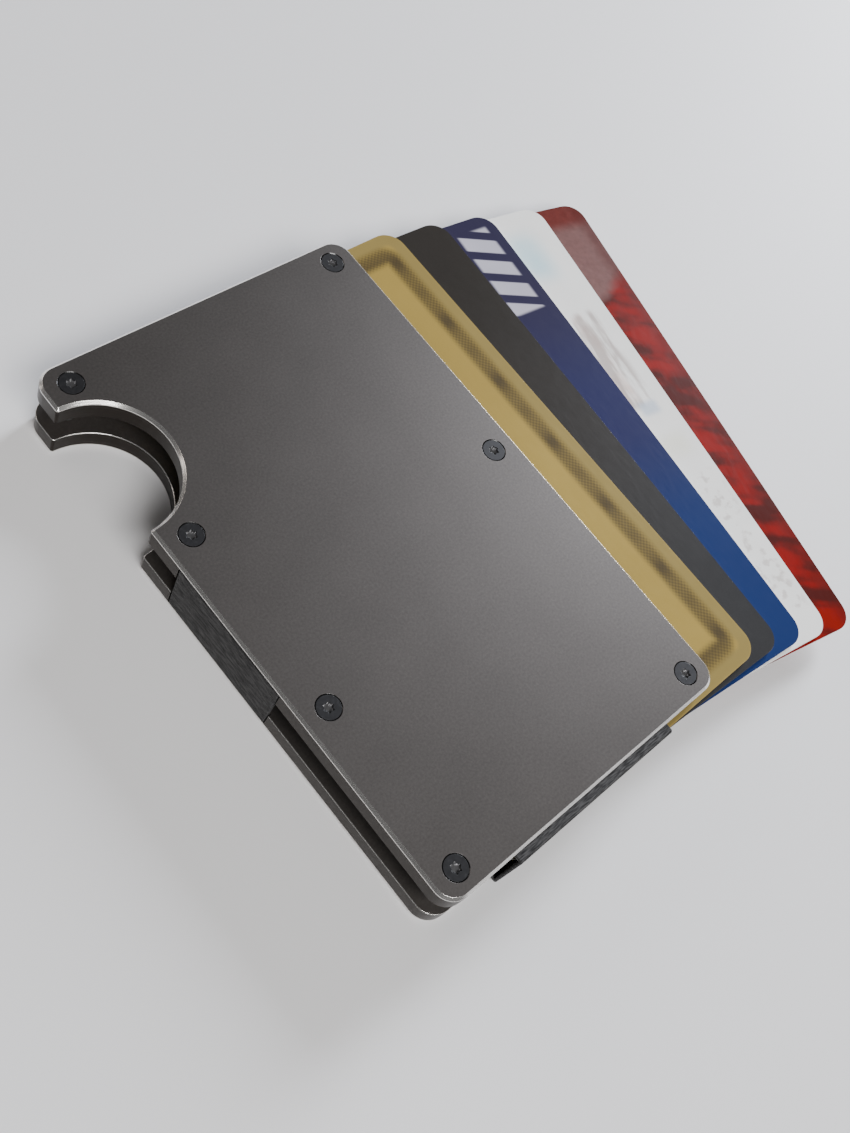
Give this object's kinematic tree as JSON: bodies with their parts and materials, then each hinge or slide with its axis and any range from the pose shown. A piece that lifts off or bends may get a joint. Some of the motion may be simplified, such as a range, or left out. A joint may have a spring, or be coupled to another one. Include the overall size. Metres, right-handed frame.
{
  "type": "minimalist wallet",
  "caption": "Slim metal plate wallet held together by elastic bands, with a thumb notch in one edge and blank cards fanned out of the open side.",
  "frame": {"origin": "middle of the rear cover's outer face, which the wallet lies on", "axes": "+Z out of the front cover, +X out of the open long side where the cards fan out, +Y towards the end with the thumb notch"},
  "size_m": [0.1027, 0.0939, 0.0105],
  "materials": {
    "anodised_aluminium": "fine bead-blasted gunmetal anodising, brighter on the chamfers",
    "plain_steel": "plain rolled strip",
    "black_screw_steel": "black oxide, satin",
    "elastic_webbing": "fine ribbed black elastic weave",
    "gold_card_plastic": "metallic gold, satin",
    "black_card_plastic": "soft matt black",
    "blue_card_plastic": "glossy laminate",
    "white_card_plastic": "glossy laminate",
    "red_card_plastic": "glossy laminate"
  },
  "bodies": {
    "rear_half": {"rear_cover": "anodised_aluminium", "rear_inner_plate": "anodised_aluminium", "rear_side_clamp_bar": "plain_steel", "rear_end_clamp_bar": "plain_steel", "rear_corner_screws": "black_screw_steel", "rear_card_side_screw": "black_screw_steel", "rear_band_screws": "black_screw_steel", "side_elastic_band": "elastic_webbing", "end_elastic_band": "elastic_webbing"},
    "front_half": {"front_cover": "anodised_aluminium", "front_inner_plate": "anodised_aluminium", "front_side_clamp_bar": "plain_steel", "front_end_clamp_bar": "plain_steel", "front_corner_screws": "black_screw_steel", "front_card_side_screw": "black_screw_steel", "front_band_screws": "black_screw_steel"},
    "red_card": {"red_card": "red_card_plastic"},
    "white_card": {"white_card": "white_card_plastic"},
    "blue_card": {"blue_card": "blue_card_plastic"},
    "black_card": {"black_card": "black_card_plastic"},
    "gold_card": {"gold_card": "gold_card_plastic"}
  },
  "joints": [
    {"name": "plate_spread", "type": "slide", "parent": "rear_half", "child": "front_half", "axis": [0, 0, 1], "range_m": [0, 0.0053], "stiffness_N_per_m": 300, "springref_m": -0.01, "deforming": ["side_elastic_band", "end_elastic_band"]},
    {"name": "red_card_fan", "type": "hinge", "parent": "rear_half", "child": "red_card", "pos_m": [0.00827, -0.19907, 0.00367], "axis": [0, 0, 1], "range_deg": [-2, 11.7]},
    {"name": "white_card_fan", "type": "hinge", "parent": "rear_half", "child": "white_card", "pos_m": [0.0074, -0.20163, 0.00447], "axis": [0, 0, 1], "range_deg": [-2, 9.5]},
    {"name": "blue_card_fan", "type": "hinge", "parent": "rear_half", "child": "blue_card", "pos_m": [0.00175, -0.23963, 0.00528], "axis": [0, 0, 1], "range_deg": [-2, 6.05]},
    {"name": "black_card_fan", "type": "hinge", "parent": "rear_half", "child": "black_card", "pos_m": [-0.00522, -0.33293, 0.00608], "axis": [0, 0, 1], "range_deg": [-2, 3.05]},
    {"name": "gold_card_slide", "type": "slide", "parent": "rear_half", "child": "gold_card", "axis": [1, 0, 0], "range_m": [-0.01038, 0.012]}
  ]
}
